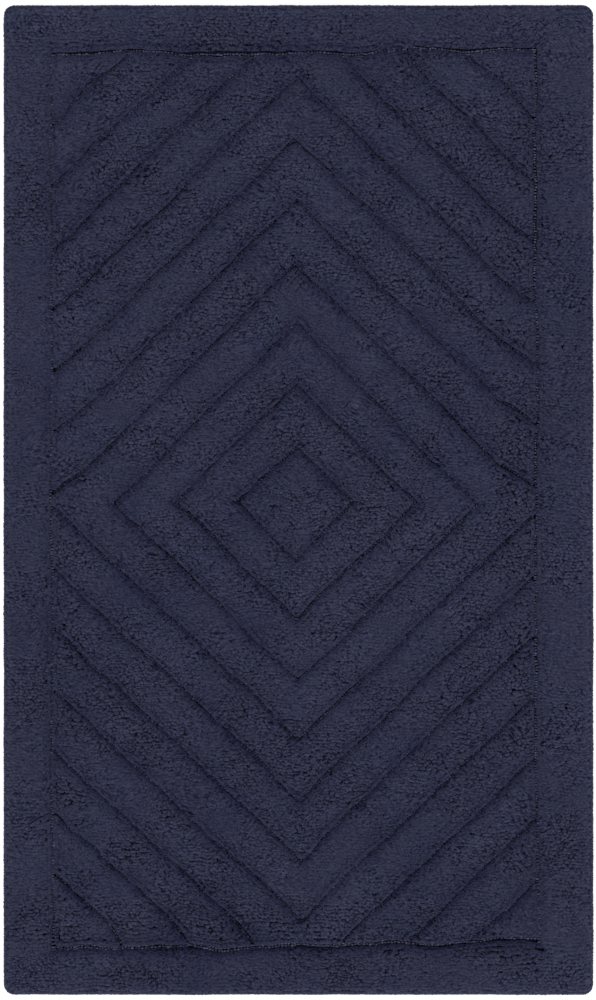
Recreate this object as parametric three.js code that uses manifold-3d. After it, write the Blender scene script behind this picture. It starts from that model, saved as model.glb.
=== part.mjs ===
// A tufted cotton bath mat: a woven backing cloth with a latex coat, a taped hem and a blank label
// under it, and on top of it a cut pile. Sunk lines of low loops part the pile into a border and a
// panel of nested diamonds. Millimetres, +Z up, +Y along the mat; the origin is on the floor, under
// the middle of the mat.

import * as THREE from "three";
import { mergeVertices } from "three/addons/utils/BufferGeometryUtils.js";
import Module from "manifold-3d";

const wasm = await Module();
wasm.setup();

// Driving dimensions: the mat
const matWidth = 595;
const matLength = 1000;
const cornerRadius = 9;
const clearance = 0.3; // between pieces that touch on the real mat

// The pattern. Borders run from the mat's edge to the middle of the frame line, which was tufted a
// little off the middle of the cloth
const leftBorder = 48;
const rightBorder = 56.5;
const upperBorder = 46;
const lowerBorder = 49;
const firstDiamond = 57.5; // from the centre to the first line's upper corner
const diamondPitch = 62; // from one line's upper corner to the next one's
const diamondCount = 10;
const diamondSlope = 0.96; // rise over run of every slanting line

// Pile and loops, measured up from the backing
const pileHeight = 14.3;
const loopHeight = 10.5;
const sideChannelWidth = 5; // the frame line holds one row of loops at the sides
const endChannelWidth = 8; // and two rows at the ends
const diamondChannelWidth = 4;
const channelFlare = 2; // each side of a channel opens by this much at the top
const channelFlareDepth = 4;
const edgeRounding = 5; // of the pile at the mat's own edge

// Cloth, coat, hem and label
const backingThickness = 1;
const pileOverhang = 4; // the pile hangs over the backing's edge by this much
const hemInset = 1.5; // from the backing's edge to the hem tape's outer edge
const tapeWidth = 24;
const latexThickness = 0.6;
const labelThickness = 0.5;
const labelLift = 0.2; // the label is held this far off the floor
const labelWidth = 50;
const labelLength = 32;
const labelOffset = 150; // from the mat's middle line to the label's
const stitchInset = 3.5; // from each edge of the tape to its row of stitches
const threadWidth = 0.7;
const threadHeight = 0.5;
const threadLift = 0.05; // the thread is pulled into the tape, so it clears the floor

// Levels, from the floor up. The hem is the thickest part underneath, so the mat rests on it
const labelTop = labelLift + labelThickness;
const latexBottom = labelTop + clearance;
const tapeTop = latexBottom + latexThickness;
const backingBottom = tapeTop + clearance;
const backingTop = backingBottom + backingThickness;
const pileBottom = backingTop + clearance;
const pileTop = pileBottom + pileHeight;
const loopTop = pileBottom + loopHeight;
const cutterOverrun = 2; // how far a cutter runs past what it cuts
const mitreCut = 100; // long enough to part two tapes at any corner
const cornerSteps = 6; // straight steps in each rounded corner
const roundingSteps = 4; // and in the pile's rounded edge
const smallestRadius = 1; // of an inner outline's corners
const diamondSides = 4;
const weldDistance = 1e-4;

// Outlines, as half sizes
const matHalfWidth = matWidth / 2;
const matHalfLength = matLength / 2;
const frameLeft = -matHalfWidth + leftBorder;
const frameRight = matHalfWidth - rightBorder;
const frameLower = -matHalfLength + lowerBorder;
const frameUpper = matHalfLength - upperBorder;
const hemEdge = pileOverhang + hemInset; // from the mat's edge to the tape's outer edge

function finish(color, roughness) {
  return new THREE.MeshStandardMaterial({ color, roughness, metalness: 0 });
}

const pileFinish = () => finish(0x2b2d41, 0.95);
const loopFinish = () => finish(0x20223a, 0.95);
const backingFinish = () => finish(0x2a2d48, 0.9);
const latexFinish = () => finish(0xd9d4c3, 0.7);
const tapeFinish = () => finish(0x24263f, 0.85);
const threadFinish = () => finish(0x1d1f36, 0.6);
const labelFinish = () => finish(0xf0efea, 0.6);

// A closed geometry as a solid that can be joined and cut
function solidOf(geometry) {
  geometry.deleteAttribute("normal");
  geometry.deleteAttribute("uv");
  const merged = mergeVertices(geometry, weldDistance);
  const mesh = new wasm.Mesh({
    numProp: 3,
    vertProperties: new Float32Array(merged.attributes.position.array),
    triVerts: new Uint32Array(merged.index.array),
  });
  return new wasm.Manifold(mesh);
}

function geometryOf(solid) {
  const mesh = solid.getMesh();
  const geometry = new THREE.BufferGeometry();
  geometry.setAttribute("position", new THREE.BufferAttribute(mesh.vertProperties, 3));
  geometry.setIndex(new THREE.BufferAttribute(mesh.triVerts, 1));
  geometry.computeVertexNormals();
  return geometry;
}

function box(width, length, bottom, top) {
  const geometry = new THREE.BoxGeometry(width, length, top - bottom);
  geometry.translate(0, 0, (bottom + top) / 2);
  return solidOf(geometry);
}

function roundedOutline(halfWidth, halfLength, radius) {
  const right = halfWidth - radius;
  const far = halfLength - radius;
  const shape = new THREE.Shape();
  shape.moveTo(-right, -halfLength);
  shape.absarc(right, -far, radius, -Math.PI / 2, 0);
  shape.absarc(right, far, radius, 0, Math.PI / 2);
  shape.absarc(-right, far, radius, Math.PI / 2, Math.PI);
  shape.absarc(-right, -far, radius, Math.PI, Math.PI * 1.5);
  return shape;
}

function roundedSlab(halfWidth, halfLength, radius, bottom, top) {
  const outline = roundedOutline(halfWidth, halfLength, radius);
  const geometry = new THREE.ExtrudeGeometry(outline, {
    depth: top - bottom,
    bevelEnabled: false,
    curveSegments: cornerSteps,
  });
  geometry.translate(0, 0, bottom);
  return solidOf(geometry);
}

// A slab inset from the mat's edge, with its corners rounded about the mat's own corner centres
function matSlab(inset, bottom, top) {
  const radius = Math.max(cornerRadius - inset, smallestRadius);
  return roundedSlab(matHalfWidth - inset, matHalfLength - inset, radius, bottom, top);
}

// The whole pile before it is parted, rounded over at the mat's edge
function pileSlab() {
  const outline = roundedOutline(matHalfWidth, matHalfLength, cornerRadius);
  const geometry = new THREE.ExtrudeGeometry(outline, {
    depth: pileHeight,
    bevelThickness: edgeRounding,
    bevelSize: edgeRounding,
    bevelOffset: -edgeRounding,
    bevelSegments: roundingSteps,
    curveSegments: cornerSteps,
  });
  geometry.translate(0, 0, pileTop - pileHeight - edgeRounding);
  const belowPile = box(matWidth * 2, matLength * 2, pileBottom - matWidth, pileBottom);
  return solidOf(geometry).subtract(belowPile);
}

// The frame line's rectangle, with each side moved outwards by a share of the channel's half width
// (1 is the channel's outer wall, -1 its inner wall) and then by a further distance
function frameRectangle(share, further) {
  const across = (sideChannelWidth / 2) * share + further;
  const along = (endChannelWidth / 2) * share + further;
  const shape = new THREE.Shape();
  shape.moveTo(frameLeft - across, frameLower - along);
  shape.lineTo(frameRight + across, frameLower - along);
  shape.lineTo(frameRight + across, frameUpper + along);
  shape.lineTo(frameLeft - across, frameUpper + along);
  return shape;
}

function straightSlab(outline, bottom, top) {
  const geometry = new THREE.ExtrudeGeometry(outline, { depth: top - bottom, bevelEnabled: false });
  geometry.translate(0, 0, bottom);
  return solidOf(geometry);
}

// A slab with the channels' flare as a bevel along its top and bottom edges
function bevelledSlab(outline, bottom, top) {
  const geometry = new THREE.ExtrudeGeometry(outline, {
    depth: top - bottom - 2 * channelFlareDepth,
    bevelThickness: channelFlareDepth,
    bevelSize: channelFlare,
    bevelOffset: -channelFlare,
    bevelSegments: 1,
  });
  geometry.translate(0, 0, bottom + channelFlareDepth);
  return solidOf(geometry);
}

// Slanting lines: a step outwards across the line moves its upper corner further than that
const cornerPerStep = Math.hypot(1, diamondSlope);

function lineCorner(number) {
  return firstDiamond + (number - 1) * diamondPitch;
}

// All that lies inside a diamond: corner is its upper corner below the flare, which moves it
function diamondPrism(corner, flare, bottom, top) {
  const profile = [
    [0, bottom],
    [corner, bottom],
    [corner, pileTop - channelFlareDepth],
    [corner + flare * cornerPerStep, pileTop],
    [corner + flare * cornerPerStep, top],
    [0, top],
  ];
  const points = profile.map(([distance, height]) => new THREE.Vector2(distance, height));
  const geometry = new THREE.LatheGeometry(points, diamondSides);
  geometry.rotateX(Math.PI / 2);
  geometry.scale(1 / diamondSlope, 1, 1);
  return solidOf(geometry);
}

const mat = new THREE.Group();

function addNode(name, solid, material) {
  const mesh = new THREE.Mesh(geometryOf(solid), material);
  mesh.name = name;
  mat.add(mesh);
}

// Where a piece lies: nothing in a direction in which it reaches over the centre
function placeWords(solid) {
  const { min, max } = solid.boundingBox();
  let words = "";
  if (min[1] > 0) words += "_upper";
  if (max[1] < 0) words += "_lower";
  if (min[0] > 0) words += "_right";
  if (max[0] < 0) words += "_left";
  return words;
}

// Adds each separate piece of a solid: a ring, two chevrons, or four pieces in the panel's corners
function addPieces(family, number, solid, makeFinish) {
  const pieces = solid.decompose();
  const shape = pieces.length === 1 ? "ring" : pieces.length === 2 ? "chevron" : "corner";
  for (const piece of pieces) {
    addNode(`${family}_${shape}_${number}${placeWords(piece)}`, piece, makeFinish());
  }
}

// The backing cloth, cut to the mat's outline less the pile's overhang
function addBacking() {
  addNode("backing_cloth", matSlab(pileOverhang, backingBottom, backingTop), backingFinish());
}

// The latex coat fills the underside between the hem tapes
function addLatex() {
  const inset = hemEdge + tapeWidth + clearance;
  const coat = box(matWidth - 2 * inset, matLength - 2 * inset, latexBottom, tapeTop);
  addNode("latex_coat", coat, latexFinish());
}

// A flat loop around the underside, from one inset to another in from the mat's edge
function hemLoop(outerInset, innerInset, bottom, top) {
  const inside = box(
    matWidth - 2 * innerInset,
    matLength - 2 * innerInset,
    bottom - cutterOverrun,
    top + cutterOverrun,
  );
  return matSlab(outerInset, bottom, top).subtract(inside);
}

// A row of stitches runs round the hem in the groove that its thread pulls into the tapes
function stitchRow(inset) {
  const halfThread = threadWidth / 2;
  const halfGroove = halfThread + clearance;
  const threadTop = threadLift + threadHeight;
  return {
    thread: hemLoop(inset - halfThread, inset + halfThread, threadLift, threadTop),
    groove: hemLoop(inset - halfGroove, inset + halfGroove, -cutterOverrun, threadTop + clearance),
  };
}

// The hem: four tapes mitred at the corners, with an outer and an inner row of stitches
function addHem() {
  const tapeInside = hemEdge + tapeWidth;
  const outerRow = stitchRow(hemEdge + stitchInset);
  const innerRow = stitchRow(tapeInside - stitchInset);
  let tapes = hemLoop(hemEdge, tapeInside, 0, tapeTop);
  tapes = tapes.subtract(outerRow.groove).subtract(innerRow.groove);
  for (const across of [-1, 1]) {
    for (const along of [-1, 1]) {
      const mitre = new THREE.BoxGeometry(mitreCut, clearance, mitreCut);
      mitre.rotateZ((Math.PI / 4) * across * along);
      mitre.translate(across * (matHalfWidth - tapeInside), along * (matHalfLength - tapeInside), 0);
      tapes = tapes.subtract(solidOf(mitre));
    }
  }
  for (const tape of tapes.decompose()) {
    addNode(`hem_tape${placeWords(tape)}`, tape, tapeFinish());
  }
  addNode("hem_thread_outer", outerRow.thread, threadFinish());
  addNode("hem_thread_inner", innerRow.thread, threadFinish());
}

// A blank care label lies on the coat with its end at the lower hem tape, where it is sewn in
function addLabel() {
  const tapeEdge = -matHalfLength + hemEdge + tapeWidth;
  const geometry = new THREE.BoxGeometry(labelWidth, labelLength, labelThickness);
  const middle = tapeEdge + clearance + labelLength / 2;
  geometry.translate(labelOffset, middle, labelTop - labelThickness / 2);
  addNode("care_label", solidOf(geometry), labelFinish());
}

// The border's pile, from the mat's edge to the frame line's channel, which opens at the top
function addBorderPile() {
  const over = pileTop + channelFlareDepth + cutterOverrun;
  const hole = straightSlab(frameRectangle(1, 0), pileBottom - cutterOverrun, over);
  const flared = bevelledSlab(frameRectangle(1, channelFlare), pileTop - channelFlareDepth, over);
  addNode("pile_border", pileSlab().subtract(hole).subtract(flared), pileFinish());
}

// The pile inside the frame line, before the diamond lines part it
function panelPile() {
  const under = pileBottom - channelFlareDepth;
  const slab = bevelledSlab(frameRectangle(-1, 0), under, pileTop);
  return slab.subtract(box(matWidth, matLength, under - cutterOverrun, pileBottom));
}

// The panel's pile: the centre diamond, and a band outside each line up to the next one
function addPanelPiles() {
  const panel = panelPile();
  const halfChannel = (diamondChannelWidth / 2) * cornerPerStep;
  const under = pileBottom - cutterOverrun;
  const over = pileTop + cutterOverrun;
  for (let number = 0; number <= diamondCount; number += 1) {
    let band = panel;
    if (number < diamondCount) {
      const outer = lineCorner(number + 1) - halfChannel;
      band = band.intersect(diamondPrism(outer, -channelFlare, under, over));
    }
    if (number > 0) {
      const inner = lineCorner(number) + halfChannel;
      band = band.subtract(diamondPrism(inner, channelFlare, under, over));
    }
    addPieces("pile", number, band, pileFinish);
  }
}

// Low loops fill the foot of every channel: one frame, and one line of loops to each diamond
function addLoops() {
  const frameInside = straightSlab(
    frameRectangle(-1, clearance),
    pileBottom - cutterOverrun,
    loopTop + cutterOverrun,
  );
  const frameOutside = straightSlab(frameRectangle(1, -clearance), pileBottom, loopTop);
  addNode("loop_frame", frameOutside.subtract(frameInside), loopFinish());

  const panel = straightSlab(frameRectangle(-1, 0), pileBottom, loopTop);
  const halfLoops = (diamondChannelWidth / 2 - clearance) * cornerPerStep;
  const under = pileBottom - cutterOverrun;
  const over = pileTop + cutterOverrun;
  for (let number = 1; number <= diamondCount; number += 1) {
    const outside = diamondPrism(lineCorner(number) + halfLoops, 0, under, over);
    const inside = diamondPrism(
      lineCorner(number) - halfLoops,
      0,
      under - cutterOverrun,
      over + cutterOverrun,
    );
    addPieces("loop", number, panel.intersect(outside.subtract(inside)), loopFinish);
  }
}

addBacking();
addLatex();
addHem();
addLabel();
addBorderPile();
addPanelPiles();
addLoops();

export default mat;
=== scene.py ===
# A tufted cotton bath mat, deep navy. It is put together here as in the mill: the backing cloth, the
# low loops that draw the pattern, the cut pile, and then, from below, the latex coat, the taped hem
# with its stitches, and the label.
import math

import bpy
import numpy as np
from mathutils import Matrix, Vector
from mathutils.bvhtree import BVHTree


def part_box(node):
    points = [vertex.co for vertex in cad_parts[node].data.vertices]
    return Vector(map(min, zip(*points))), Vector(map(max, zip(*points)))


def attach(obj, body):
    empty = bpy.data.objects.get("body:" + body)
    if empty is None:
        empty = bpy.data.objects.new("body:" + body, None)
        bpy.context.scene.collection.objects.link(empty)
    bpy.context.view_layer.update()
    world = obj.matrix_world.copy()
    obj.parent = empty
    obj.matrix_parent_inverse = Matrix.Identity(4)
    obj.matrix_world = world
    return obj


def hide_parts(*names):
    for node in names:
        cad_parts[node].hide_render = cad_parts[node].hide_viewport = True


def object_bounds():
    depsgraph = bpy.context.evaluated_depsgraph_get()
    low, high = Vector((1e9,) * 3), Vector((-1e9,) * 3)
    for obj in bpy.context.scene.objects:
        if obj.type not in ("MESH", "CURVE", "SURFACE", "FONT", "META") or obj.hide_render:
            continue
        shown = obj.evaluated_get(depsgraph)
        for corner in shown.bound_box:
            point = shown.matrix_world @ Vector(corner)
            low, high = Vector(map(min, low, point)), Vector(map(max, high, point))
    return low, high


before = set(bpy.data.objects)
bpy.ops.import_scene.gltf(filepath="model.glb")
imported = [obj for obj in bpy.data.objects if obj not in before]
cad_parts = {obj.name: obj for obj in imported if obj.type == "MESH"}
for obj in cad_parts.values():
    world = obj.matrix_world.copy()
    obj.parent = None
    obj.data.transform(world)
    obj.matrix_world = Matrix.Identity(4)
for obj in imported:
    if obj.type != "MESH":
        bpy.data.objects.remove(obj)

cad_low, cad_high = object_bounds()
millimetre = 0.001


# ---------------------------------------------------------------------------------------------
# The studio. A plain white floor under an even white sky, with one wide soft light low on the near
# side, so that the pile's slopes that face away from it stay a little darker. The camera looks
# straight down from well above the middle of the mat.

floor_size = 12
floor_drop = 0.0002  # the floor lies just under the hem
floor_white = 0.86
floor_roughness = 0.9
floor_glow = 0.55  # keeps the floor white beside the mat
sky_strength = 0.78
window_power = 1.1
window_spread = math.radians(40)
window_lift = math.radians(34)
view_length = 1.0108  # the length of floor that the camera takes in
camera_aside = -0.5 * millimetre  # the mat lies this little to the right of the camera
lens = 100
sensor = 36
view_end = 50

bpy.ops.object.select_all(action="DESELECT")
bpy.ops.mesh.primitive_plane_add(size=floor_size, location=(0, 0, -floor_drop))
floor = bpy.context.object
floor.name = "studio_floor"
floor_paint = bpy.data.materials.new("white_floor")
floor_paint.use_nodes = True
floor_shader = floor_paint.node_tree.nodes["Principled BSDF"]
floor_shader.inputs["Base Color"].default_value = (floor_white, floor_white, floor_white, 1)
floor_shader.inputs["Roughness"].default_value = floor_roughness
floor_shader.inputs["Emission Color"].default_value = (1, 1, 1, 1)
floor_shader.inputs["Emission Strength"].default_value = floor_glow
floor.data.materials.append(floor_paint)

sky = bpy.data.worlds.new("even_sky")
sky.use_nodes = True
sky.node_tree.nodes["Background"].inputs["Color"].default_value = (1, 1, 1, 1)
sky.node_tree.nodes["Background"].inputs["Strength"].default_value = sky_strength
bpy.context.scene.world = sky

window = bpy.data.lights.new("window", "SUN")
window.energy = window_power
window.angle = window_spread
window_object = bpy.data.objects.new("window", window)
window_object.location = (0, -math.cos(window_lift), math.sin(window_lift))
window_object.rotation_euler = (math.pi / 2 - window_lift, 0, 0)
bpy.context.scene.collection.objects.link(window_object)

camera = bpy.data.cameras.new("camera")
camera.lens = lens
camera.sensor_width = sensor
camera.clip_end = view_end
camera_object = bpy.data.objects.new("camera", camera)
camera_object.location = (camera_aside, 0, cad_high.z + view_length * lens / sensor)
bpy.context.scene.collection.objects.link(camera_object)
bpy.context.scene.camera = camera_object
bpy.context.scene.view_settings.view_transform = "Standard"


# ---------------------------------------------------------------------------------------------
# The backing cloth: a plain woven cotton, dyed with the pile, that every tuft is stuck through. It
# is cut a little smaller than the mat, with rounded corners, and lies flat.

backing_yarn = 1.3 * millimetre  # from one yarn of the weave to the next
backing_colour = (0.045, 0.049, 0.1)
backing_sheen = 0.1
backing_corner = 5 * millimetre
backing_cuts = (6, 10)  # the sheet is parted into this many faces across and along
corner_steps = 5
edge_round = 0.3  # a sheet's edges are rounded over this share of its thickness
edge_steps = 2


class Wire:
    """A shader socket that takes Python's sums, each of which adds its Math node."""

    def __init__(self, finish, socket):
        self.finish = finish
        self.socket = socket

    def sum_with(self, operation, *values):
        maths = self.finish.node("ShaderNodeMath", {"operation": operation}, dict(enumerate(values)))
        return maths.out(0)

    def __add__(self, other):
        return self.sum_with("ADD", self, other)

    def __radd__(self, other):
        return self.sum_with("ADD", other, self)

    def __sub__(self, other):
        return self.sum_with("SUBTRACT", self, other)

    def __rsub__(self, other):
        return self.sum_with("SUBTRACT", other, self)

    def __mul__(self, other):
        return self.sum_with("MULTIPLY", self, other)

    def __rmul__(self, other):
        return self.sum_with("MULTIPLY", other, self)

    def __truediv__(self, other):
        return self.sum_with("DIVIDE", self, other)

    def __pow__(self, other):
        return self.sum_with("POWER", self, other)

    def __gt__(self, other):
        return self.sum_with("GREATER_THAN", self, other)

    def wave(self):
        return self.sum_with("SINE", self)

    def size(self):
        return self.sum_with("ABSOLUTE", self)

    def fraction(self):
        return self.sum_with("FRACT", self)

    def whole(self):
        return self.sum_with("FLOOR", self)

    def at_least(self, least):
        return self.sum_with("MAXIMUM", self, least)


class Made:
    """A node that is in place. out gives one of its sockets, by number or name."""

    def __init__(self, finish, node):
        self.finish = finish
        self.node = node

    def out(self, which=0):
        return Wire(self.finish, self.node.outputs[which])


class Finish:
    """One material: a shader, and the nodes that are added in front of it."""

    def __init__(self, name):
        self.material = bpy.data.materials.new(name)
        self.material.use_nodes = True
        self.tree = self.material.node_tree
        self.shader = self.tree.nodes["Principled BSDF"]

    def put(self, socket, value):
        """Links a wire to a socket, or sets the socket to a number or a colour."""
        if isinstance(value, Wire):
            self.tree.links.new(value.socket, socket)
        elif hasattr(value, "__len__") and len(value) == 3 and socket.type == "RGBA":
            socket.default_value = (*value, 1)
        else:
            socket.default_value = value

    def node(self, kind, settings=None, inputs=None):
        """Any node, from its type, its settings and what goes into its sockets."""
        node = self.tree.nodes.new(kind)
        for name, value in (settings or {}).items():
            setattr(node, name, value)
        for which, value in (inputs or {}).items():
            self.put(node.inputs[which], value)
        return Made(self, node)

    def place(self):
        """The point on the piece in metres, as one wire and as three."""
        where = self.node("ShaderNodeTexCoord").out("Object")
        parts = self.node("ShaderNodeSeparateXYZ", inputs={0: where})
        return where, parts.out("X"), parts.out("Y"), parts.out("Z")

    def noise(self, where, size, detail=2.0, roughness=0.5):
        """Cloudy noise from 0 to 1, with its patches about size metres wide."""
        settings = {"normalize": True}
        inputs = {"Vector": where, "Scale": 1 / size, "Detail": detail, "Roughness": roughness}
        return self.node("ShaderNodeTexNoise", settings, inputs).out(0)

    def attribute(self, name):
        """A value that the mesh holds at each of its points."""
        return self.node("ShaderNodeAttribute", {"attribute_name": name}).out("Fac")

    def stretched(self, where, across, along, up):
        """The point, with a pattern's three directions squeezed by these shares."""
        settings = {"operation": "MULTIPLY"}
        return self.node("ShaderNodeVectorMath", settings, {0: where, 1: (across, along, up)}).out(0)

    def swirled(self, where, size, reach):
        """The point, carried sideways in smooth swirls about size wide."""
        inputs = {"Vector": where, "Scale": 1 / size, "Detail": 0.0}
        swirl = self.node("ShaderNodeTexNoise", {"normalize": True}, inputs).out("Color")
        settings = {"operation": "MULTIPLY_ADD"}
        return self.node("ShaderNodeVectorMath", settings, {0: swirl, 1: (reach, reach, 0), 2: where}).out(0)

    def mixed(self, share, first, second):
        """A colour on the way from the first to the second."""
        settings = {"data_type": "RGBA", "blend_type": "MIX", "clamp_factor": True}
        return self.node("ShaderNodeMix", settings, {0: share, 6: first, 7: second}).out(2)

    def tinted(self, colour, tint):
        """A colour with its red, green and blue each made lighter or darker."""
        settings = {"operation": "MULTIPLY"}
        return self.node("ShaderNodeVectorMath", settings, {0: colour, 1: tint}).out(0)

    def scaled(self, colour, by):
        """A colour made lighter or darker by a wire."""
        settings = {"operation": "SCALE"}
        return self.node("ShaderNodeVectorMath", settings, {0: colour, "Scale": by}).out(0)

    def bump(self, height, distance, strength=1.0):
        """Relief too fine to model, this far from its lowest to its highest."""
        inputs = {"Height": height, "Distance": distance, "Strength": strength}
        return self.node("ShaderNodeBump", inputs=inputs).out(0)

    def finished(self, colour, roughness, normal, sheen=0.0, sheen_colour=(1, 1, 1), gloss=0.25):
        """The material, once its colour, roughness and relief are known."""
        self.put(self.shader.inputs["Base Color"], colour)
        self.put(self.shader.inputs["Roughness"], roughness)
        self.put(self.shader.inputs["Normal"], normal)
        self.shader.inputs["Specular IOR Level"].default_value = gloss
        self.shader.inputs["Sheen Weight"].default_value = sheen
        self.shader.inputs["Sheen Roughness"].default_value = 0.5
        self.shader.inputs["Sheen Tint"].default_value = (*sheen_colour, 1)
        return self.material


def woven(name, colour, pitch, sheen):
    """Plain weave: yarns over and under each other, a pitch apart both ways."""
    cloth = Finish(name)
    where, x, y, _ = cloth.place()
    warp = (x * (math.pi / pitch)).wave()
    weft = (y * (math.pi / pitch)).wave()
    over = warp * weft  # above nought where a warp yarn is on top
    crown = warp.size() * weft.size()
    slub = cloth.noise(cloth.stretched(where, 1, 0.15, 1), pitch * 4)
    fade = cloth.noise(where, 0.06, 3.0)
    # Painted light: the yarns' crowns are lighter than the hollows between them
    tone = 0.55 + crown * 0.35 + (over > 0) * 0.12 + slub * 0.3 + fade * 0.3
    relief = cloth.bump(crown + slub * 0.4, pitch * 0.25)
    return cloth.finished(cloth.scaled(colour, tone), 0.86 + slub * 0.1, relief, sheen)


def flat_sheet(name, low, high, corner, across, along):
    """A flat sheet between two corners, with a rounded outline and softened edges."""
    bpy.ops.object.select_all(action="DESELECT")
    middle = (low + high) / 2
    bpy.ops.mesh.primitive_plane_add(size=1, location=middle)
    sheet = bpy.context.object
    sheet.name = name
    sheet.data.name = name
    sheet.scale = (high.x - low.x, high.y - low.y, 1)
    bpy.ops.object.transform_apply(location=True, rotation=False, scale=True)
    bpy.ops.object.mode_set(mode="EDIT")
    bpy.ops.mesh.select_all(action="SELECT")
    bpy.ops.mesh.bevel(offset=corner, segments=corner_steps, affect="VERTICES")
    bpy.ops.object.mode_set(mode="OBJECT")
    for count, normal, first, last in (
        (across, (1, 0, 0), low.x, high.x),
        (along, (0, 1, 0), low.y, high.y),
    ):
        for step in range(1, count):
            place = first + (last - first) * step / count
            bpy.ops.object.mode_set(mode="EDIT")
            bpy.ops.mesh.select_all(action="SELECT")
            spot = tuple(place * axis for axis in normal)
            bpy.ops.mesh.bisect(plane_co=spot, plane_no=normal)
            bpy.ops.object.mode_set(mode="OBJECT")
    thicken = sheet.modifiers.new("thickness", "SOLIDIFY")
    thicken.thickness = high.z - low.z
    thicken.offset = 0
    bpy.ops.object.modifier_apply(modifier="thickness")
    soften = sheet.modifiers.new("soft_edge", "BEVEL")
    soften.width = (high.z - low.z) * edge_round
    soften.segments = edge_steps
    soften.limit_method = "ANGLE"
    bpy.ops.object.modifier_apply(modifier="soft_edge")
    return sheet


backing_low, backing_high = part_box("backing_cloth")
backing = flat_sheet("backing_cloth_sheet", backing_low, backing_high, backing_corner, *backing_cuts)
backing.data.materials.append(woven("backing_weave", backing_colour, backing_yarn, backing_sheen))
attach(backing, "root")
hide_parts("backing_cloth")


# ---------------------------------------------------------------------------------------------
# The low loops. The yarn that draws the pattern isn't cut: it comes up through the cloth and goes
# down again as a row of small loops, lower than the pile, at the foot of every sunk line.

loop_pitch = 3.1 * millimetre
loop_yarn = 0.9 * millimetre  # the yarn's radius
loop_span = 0.8 * millimetre  # half of the distance between a loop's legs
loop_colour = (0.072, 0.079, 0.158)
loop_fibre = 0.5 * millimetre  # the width of the yarn's fibres, as they show
loop_root_shade = 0.45  # how light the painted shade down in the pile leaves the yarn at its foot
line_loop_shade = -0.5  # how light the loops' yarn is, on average, in the narrow lines: painted shade
frame_loop_light = 0.75  # and in the frame line, lighter there by painted light
loop_stray = 0.2 * millimetre  # how far a loop strays from its row, usually
loop_turn = 0.3  # and how far it turns, in radians
loop_tall = (0.9, 1.12)
loop_fat = (0.85, 1.15)
loop_tone = 0.5  # how much lighter or darker one loop is than the next
loop_rough = 0.5
wander_reach = 45 * millimetre  # the hand-guided rows stray in bends about this long
wander_ripple = 10 * millimetre  # with ripples this long
wander_width = 2.1 * millimetre
wander_seeds = ((11, 12), (13, 14))
ripple_share = 0.5
still_rim = 4 * millimetre  # the rows run true this close to the mat's edge
still_edge = 25 * millimetre  # and stray fully from this much farther in
end_wave = 1.7  # the frame's end lines wave more than the rest, in bends about end_bend long
end_bend = 35 * millimetre
end_seed = 15
end_reach = 12 * millimetre

# The cloth was pulled a little out of square while the diamonds were tufted. These say how far, at most:
pulled_aside = 2 * millimetre  # all of them to the left and down
drawn_in = 5.5 * millimetre  # their side corners, towards the middle
drawn_fade = 0.85  # the share of that which is lost towards both ends
leant = 2.6 * millimetre  # the upper half to the left, the lower half to the right, the sides down
flattened = 2.9 * millimetre  # the upper and lower corners, towards the middle
flat_turn = 1.8  # how fast that turns round towards the sides
bowed = 4 * millimetre  # both ends upwards
spread = 9 * millimetre  # the last lines in the two upper corners, towards the corners
spread_reach = 55 * millimetre
pull_width = 35 * millimetre  # all this fades out up to the frame line, over this width

# The frame line itself was sewn a little aslant
lower_tilt = 3.8 * millimetre  # its lower line has its right end this far up and its left end down
upper_tilt = lower_tilt / 2  # the same for its upper line
side_tilt = lower_tilt / 3  # its sides have their upper ends to the left, their lower ends to the right
frame_reach = 14 * millimetre  # the pile goes along with it up to about this far away

border_points = [v.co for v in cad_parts["pile_border"].data.vertices]
corner_radius = cad_high.y - max(v.y for v in border_points if v.x > cad_high.x - 0.1 * millimetre)


def drift(x, y, reach_x, reach_y, seed):
    """Smooth random hills from -1 to 1, about one for each reach along x and along y."""
    tiles = 97
    hills = np.random.default_rng(seed).uniform(-1, 1, (tiles, tiles))
    u = np.asarray(x) / reach_x
    v = np.asarray(y) / reach_y
    column = np.floor(u).astype(int)
    row = np.floor(v).astype(int)
    u = u - column
    v = v - row
    u = u * u * (3 - 2 * u)
    v = v * v * (3 - 2 * v)
    left = hills[column % tiles, row % tiles] * (1 - v) + hills[column % tiles, (row + 1) % tiles] * v
    right_column = (column + 1) % tiles
    right = hills[right_column, row % tiles] * (1 - v) + hills[right_column, (row + 1) % tiles] * v
    return left * (1 - u) + right * u


def inset(x, y):
    """How far points are inside the mat's own outline."""
    past_x = np.abs(x) - (cad_high.x - corner_radius)
    past_y = np.abs(y) - (cad_high.y - corner_radius)
    outside = np.hypot(np.maximum(past_x, 0), np.maximum(past_y, 0))
    return corner_radius - outside - np.minimum(np.maximum(past_x, past_y), 0)


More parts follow.
